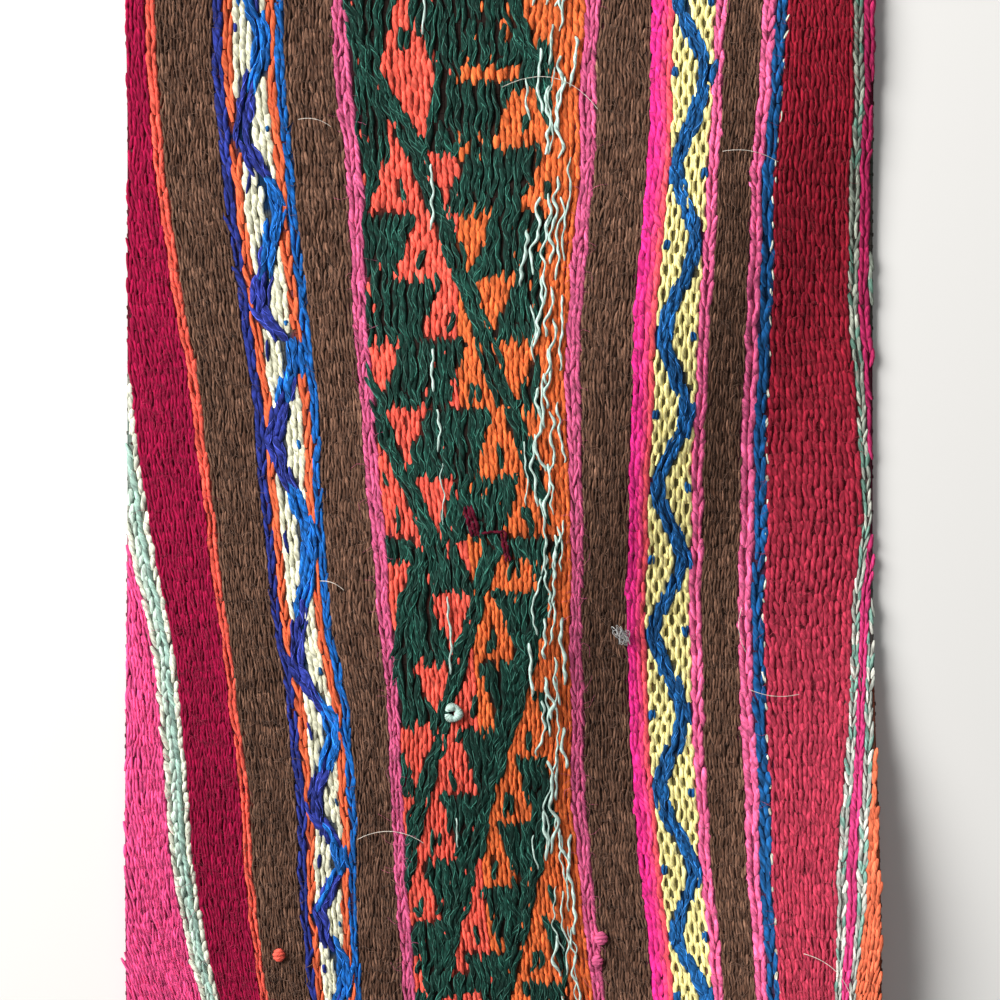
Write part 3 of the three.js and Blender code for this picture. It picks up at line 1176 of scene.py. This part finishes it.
def cut_warp_ends(side, inset=1.8, past=(0.2, 1.5), strays=0.18, half=0.5, narrowing=0.35, height=0.05,
                  drop=1.05, power=2.5, height_chance=0.04, depth=0.36, unevenness=0.12):
    """A batch of cut warp ends at the far edge (side 1) or the near edge (side -1). They bend down to the
    surface."""
    every = np.arange(len(COLUMNS))
    edge = np.full((len(every), 1), side * (HALF_LENGTH - inset))
    column = every[np.abs(column_x(every, edge)[:, 0]) < HALF_WIDTH - EDGE_SLACK]
    each = (len(column), 1)
    t = outward(side)
    y = side * (HALF_LENGTH - inset + (inset + dice.uniform(*past, each)) * t)
    x = column_x(column, y) + dice.normal(0, strays, each) * t ** 2
    width = column_pitch(column, y) * half * (1 - narrowing * t ** 2)
    crest = height - drop * t ** power + dice.normal(0, height_chance, each)
    colours = stitch_colours(column, y.mean(axis=1), unevenness)
    return half_round(x, y, width, crest, crest - depth, colours, np.ones(len(column)), FINE_ARC)


def weft_ends(side, inset=1.0, farthest=0.30, shares=(0.3, 1), strays=0.1, half=0.42, narrowing=0.2,
              height=-0.25, drop=0.85, power=3, depth=0.5, unevenness=0.15):
    """A batch of weft ends along the left edge (side -1) or the right edge (side 1)."""
    y = np.tile(PICK_LINES[1:-1:2, None], (1, len(FRAY_STATIONS)))
    each = (len(y), 1)
    t = outward(side)
    x = side * (HALF_WIDTH - inset + (inset + farthest * dice.uniform(*shares, each)) * t)
    y = y + dice.normal(0, strays, each) + dice.normal(0, strays, each) * t
    width = half * (1 - narrowing * t ** power) + np.zeros_like(y)
    crest = height - drop * t ** power + np.zeros_like(y)
    colours = yarn_colours(np.full(len(y), "weft"), unevenness)
    return half_round(x, y, width, crest, crest - depth, colours, np.ones(len(y)))


# Wear: a darn, pills, lint, stray hairs and short fuzz

# Stray hairs: where they start (x, y) and end (x, y), and how far they bow to the left of that line
HAIRS = [
    (0.3, 68.7, 16.2, 64.7, 3.4),
    (-33.8, 63.7, -28.3, 62.5, 0.6),
    (36.7, 57.5, 46.0, 56.0, 0.8),
    (-23.8, -56.7, -12.8, -57.2, 1.7),
    (41.7, -31.7, 50.0, -32.5, -0.7),
    (40.5, -18.0, 41.2, -25.5, -0.9),
    (50.0, -74.7, 57.5, -81.7, 1.6),
    (-30.0, -13.5, -26.0, -15.0, 0.5),
]
# Darn: three short runs of stitches, with how far apart their strands lie and how thick they are
DARN_RUNS = [
    {"start": (-5.3, -1.0), "end": (-4.0, -6.0), "strands": (-0.6, 0.0, 0.6), "radius": 0.30},
    {"start": (-4.0, -5.5), "end": (0.8, -5.2), "strands": (0.0,), "radius": 0.22},
    {"start": (0.4, -5.0), "end": (1.4, -10.2), "strands": (-0.28, 0.28), "radius": 0.24},
]
# Pills: where they lie, their radius, how far they are drawn out along the cloth, and their colour
PILLS = [
    {"at": (16.9, -73.4), "radius": 0.82, "drawn_out": 1.0, "colour": "pink"},
    {"at": (16.3, -77.2), "radius": 0.65, "drawn_out": 1.2, "colour": "pink"},
    {"at": (-37.0, -76.2), "radius": 0.70, "drawn_out": 1.15, "colour": "coral"},
]
BROWN_FUZZ = 4000
BRIGHT_FUZZ = 2500


def above_face(x, y, height):
    """Points at a height above the cloth's face."""
    return np.stack([x, y, face_height(x, y) + height], axis=-1)


def even_strands(paths, radius, colour_names, unevenness=0.03):
    """A batch of round strands, each of one thickness from end to end."""
    colours = yarn_colours(colour_names, unevenness)
    return round_yarn(paths, np.full(paths.shape[:2], radius), colours, STRAND_SIDES)


def stray_hairs(stations=14, radius=0.055, height=0.35, rise=0.5, unevenness=0.05):
    """A batch of pale hairs that lie on the cloth in gentle bows and rise in the middle."""
    s = np.linspace(0, 1, stations)[None, :, None]
    start, end, bow = np.split(np.array(HAIRS)[:, None], (2, 4), axis=-1)
    side = np.stack([start[..., 1] - end[..., 1], end[..., 0] - start[..., 0]], axis=-1)
    side = side / np.linalg.norm(side, axis=-1, keepdims=True)
    plan = start + (end - start) * s + bow * side * 4 * s * (1 - s)
    path = above_face(plan[..., 0], plan[..., 1], height + rise * np.sin(np.pi * s[..., 0]))
    return even_strands(path, radius, ["pale_hair"] * len(HAIRS), unevenness)


def darning(stations=26, sides=6, strays=0.09, stitch=2.1, height=0.16, narrowing=0.6, power=6,
            unevenness=0.1):
    """A batch of strands of darning yarn, drawn through the weave so that they rise and sink."""
    t = np.linspace(0, 1, stations)
    paths = []
    thickness = []
    for run in DARN_RUNS:
        (x, y), (end_x, end_y) = run["start"], run["end"]
        length = math.hypot(end_x - x, end_y - y)
        for shift in run["strands"]:
            stray_x, stray_y = dice.normal(0, strays, (2, stations))
            along_x = x + (end_x - x) * t + shift * (y - end_y) / length + stray_x
            along_y = y + (end_y - y) * t + shift * (end_x - x) / length + stray_y
            wave = np.sin(2 * np.pi * (length * t / stitch + dice.random()))
            paths.append(above_face(along_x, along_y, height + height * wave))
            thickness.append(run["radius"] * (1 - narrowing * np.abs(2 * t - 1) ** power))
    colours = yarn_colours(["burgundy"] * len(paths), unevenness)
    return round_yarn(np.array(paths), np.array(thickness), colours, sides)


def pills(stations=200, poles=(0.03, 0.97), turns=9.5, strand=0.36, flatness=0.6, rise=0.75, lumps=0.12,
          lump_angle=31):
    """A batch of small matted balls, wound from pole to pole."""
    t = np.linspace(*poles, stations)
    turned = 2 * np.pi * turns * t
    across = np.sin(np.pi * t) * (1 + lumps * np.sin(lump_angle * t))
    paths = []
    for pill in PILLS:
        x = pill["at"][0] + pill["radius"] * across * np.cos(turned)
        y = pill["at"][1] + pill["radius"] * pill["drawn_out"] * np.cos(np.pi * t)
        z = pill["radius"] * flatness * (rise + across * np.sin(turned))
        paths.append(above_face(x, y, z))
    return even_strands(np.array(paths), strand, [pill["colour"] for pill in PILLS])


def lint_ring(at=(-7.8, -35.3), stations=320, radius=1.0, thickest=0.55, closed=0.92, coils=30, strand=0.15,
              rise=0.55, lumps=0.25, lump_angle=17, narrowing=0.5, power=4):
    """A batch of one loose strand of lint, wound into a flat ring that is open at the left."""
    t = np.linspace(0, 1, stations)
    angle = np.pi * (1 + (1 - closed) + 2 * closed * t)
    coil = 2 * np.pi * coils * t
    tube = thickest * (1 + lumps * np.sin(lump_angle * t)) * (1 - narrowing * np.abs(2 * t - 1) ** power)
    away = radius + tube * np.cos(coil)
    path = above_face(at[0] + away * np.cos(angle), at[1] + away * np.sin(angle), rise + tube * np.sin(coil))
    return even_strands(path[None], strand, ["pale_mint"])


def lint_tangle(at=(20.3, -22.5), stations=320, radius=1.9, strand=0.05, turns=(3, 21), waves=4,
                flatness=0.65, rise=0.6, lowest=0.05):
    """A batch of one fine grey fibre, tangled into a tuft."""
    t = np.linspace(0, 1, stations)[:, None]
    ball = np.zeros((stations, 3))
    for _ in range(waves):
        ball += np.sin(2 * np.pi * (dice.uniform(*turns, 3) * t + dice.random(3))) / waves
    ball *= radius
    height = np.maximum(flatness * (rise * radius + ball[:, 2]), lowest)
    path = above_face(at[0] + ball[:, 0], at[1] + ball[:, 1], height)
    return even_strands(path[None], strand, ["lint"])


def fuzz(stripes, wanted, stations=4, a_stitch=3, around=(-1.0, 1.0), margin=2, past=1, spread=0.7, curl=1.3,
         lengths=(1.0, 3.4), start=0.02, rises=(0.08, 0.35), arch=(0.05, 0.9), thickest=0.040, narrowing=0.6,
         unevenness=0.2, paler=1.15, grey=0.025):
    """A batch of short fibres that stand off some stripes' yarns, paler than the yarns. Each follows part of
    an arch, roughly along the cloth."""
    column, row = (np.repeat(each, a_stitch) for each in stitch_list(stripes))
    along = ROW_LINES[row] + dice.uniform(*around, len(row))
    across = column_x(column, along[:, None])[:, 0]
    bare = (np.abs(across) < HALF_WIDTH - margin) & ~covered(column, along)
    chosen = dice.permutation(np.flatnonzero(bare))[:wanted]
    each = (len(chosen), 1)
    s = np.linspace(0, 1, stations)[None, :]
    turn = dice.normal(np.pi / 2, spread, each) + dice.normal(0, curl, each) * s
    length = dice.uniform(*lengths, each) * dice.choice([-1, 1], each)
    x = across[chosen][:, None] + length * s * np.cos(turn)
    y = along[chosen][:, None] + length * s * np.sin(turn)
    y = np.clip(y, -HALF_LENGTH - past, HALF_LENGTH + past)
    height = start + dice.uniform(*rises, each) * np.sin(np.pi * np.clip(s, *arch))
    radius = np.tile(thickest * (1 - narrowing * s), each)
    colours = stitch_colours(column[chosen], along[chosen], unevenness) * paler + grey
    return round_yarn(above_face(x, y, height), radius, colours, FINE_SIDES)


# Camera, light and floor

# Square lights that face the middle of the cloth: place and size in metres, power in watts, and colour
LIGHTS = {
    "key": {"place": (-0.66, 0.38, 0.52), "size": 0.60, "power": 16.0, "colour": (1.0, 0.98, 0.95)},
    "fill": {"place": (0.25, -0.30, 1.10), "size": 1.2, "power": 1.6, "colour": (1.0, 0.98, 0.96)},
}


def add_camera(lens=80.0, sensor=36.0, nearest=0.01):
    """A camera straight above the middle of the cloth, with the photograph's span."""
    data = bpy.data.cameras.new("camera")
    data.lens = lens
    data.sensor_width = sensor
    data.clip_start = nearest
    camera = add_object("camera", data)
    camera.location = (0, 0, (MEAN_HEIGHT + CAMERA_HEIGHT) * MM)
    bpy.context.scene.camera = camera


def add_lights(surround=(1.0, 1.0, 1.0, 1.0), surround_strength=0.10):
    """A soft key light from the far left, a broad fill from above and a pale surround."""
    for name, lamp in LIGHTS.items():
        data = bpy.data.lights.new(name, "AREA")
        data.size = lamp["size"]
        data.energy = lamp["power"]
        data.color = lamp["colour"]
        light = add_object(name, data)
        light.location = lamp["place"]
        light.rotation_mode = "QUATERNION"
        light.rotation_quaternion = (-light.location).to_track_quat("-Z", "Y")
    world = bpy.data.worlds.new("surround")
    world.use_nodes = True
    background = world.node_tree.nodes["Background"]
    background.inputs["Color"].default_value = surround
    background.inputs["Strength"].default_value = surround_strength
    bpy.context.scene.world = world
    bpy.context.scene.view_settings.view_transform = "Standard"


def add_floor(half=3.0, colour=(0.86, 0.86, 0.85, 1.0), roughness=0.8):
    """A plain pale floor. Its half width is in metres."""
    mesh = bpy.data.meshes.new("floor")
    corners = [(-half, -half, 0), (half, -half, 0), (half, half, 0), (-half, half, 0)]
    mesh.from_pydata(corners, [], [(0, 1, 2, 3)])
    material = bpy.data.materials.new("pale_floor")
    material.use_nodes = True
    shader = material.node_tree.nodes["Principled BSDF"]
    shader.inputs["Base Color"].default_value = colour
    shader.inputs["Roughness"].default_value = roughness
    mesh.materials.append(material)
    floor = add_object("floor", mesh)


# The whole cloth

add_camera()
add_lights()
add_floor()
sheet = woven_sheet()
green_floats = figure_floats("wide_figure", "green", wide_fill_floats() + wide_line_floats())
blue_floats = [
    figure_floats("side_figure", "snake", swinging_floats("snake", SNAKE, snake_colour)),
    figure_floats("zigzag", "zigzag", swinging_floats("zigzag", ZIGZAG, lambda along: "zigzag_blue")),
]
pieces = [
    yarn_piece("left_stripes", [
        face_stitches("rose_field", "crimson", arc=FINE_ARC),
        face_stitches("white_line", "pale_edge"),
    ], bright_yarn),
    yarn_piece("brown_stripes", [face_stitches("brown", arc=FINE_ARC)], brown_wool),
    yarn_piece("bright_lines", [
        face_stitches("pink_line", "right_pink", "neon_line", "coral_line", "edge_line", arc=FINE_ARC),
    ], bright_yarn),
    yarn_piece("side_band", [face_stitches("orange_line", "side_figure")], bright_yarn),
    yarn_piece("wide_band", [face_stitches("wide_figure", arc=FINE_ARC)], bright_yarn),
    yarn_piece("zigzag_band", [
        face_stitches("zigzag", arc=FINE_ARC),
        figure_floats("blue_line", "dot", edge_dots()),
    ], bright_yarn),
    yarn_piece("green_figures", [
        # Fibres with painted highlights along the green floats
        green_floats, highlight_fibres(green_floats, paler=6.0), highlight_fibres(green_floats, paler=4.0),
    ], figure_yarn),
    yarn_piece("blue_figures", [
        face_stitches("royal_line", "sky_line", "blue_line"),
        *blue_floats,
        # Fibres with painted highlights along the blue floats
        *(highlight_fibres(batch, paler=3.0) for batch in blue_floats),
        figure_floats("side_figure", "eye", snake_eyes()),
        figure_floats("zigzag", "eye", zigzag_eyes()),
    ], figure_yarn),
    yarn_piece("right_stripes", [face_stitches("red", "orange_field", arc=FINE_ARC)], bright_yarn),
    yarn_piece("cut_ends", [
        cut_warp_ends(1), cut_warp_ends(-1), weft_ends(-1), weft_ends(1),
    ], bright_yarn),
    yarn_piece("loose_threads", [
        loose_threads(), darning(), pills(), lint_ring(), lint_tangle(), stray_hairs(),
    ], bright_yarn),
    yarn_piece("brown_fuzz", [fuzz(["brown"], BROWN_FUZZ)], brown_wool),
    yarn_piece("bright_fuzz", [fuzz(["rose_field", "crimson", "red", "pink_line"], BRIGHT_FUZZ)],
               bright_yarn),
]
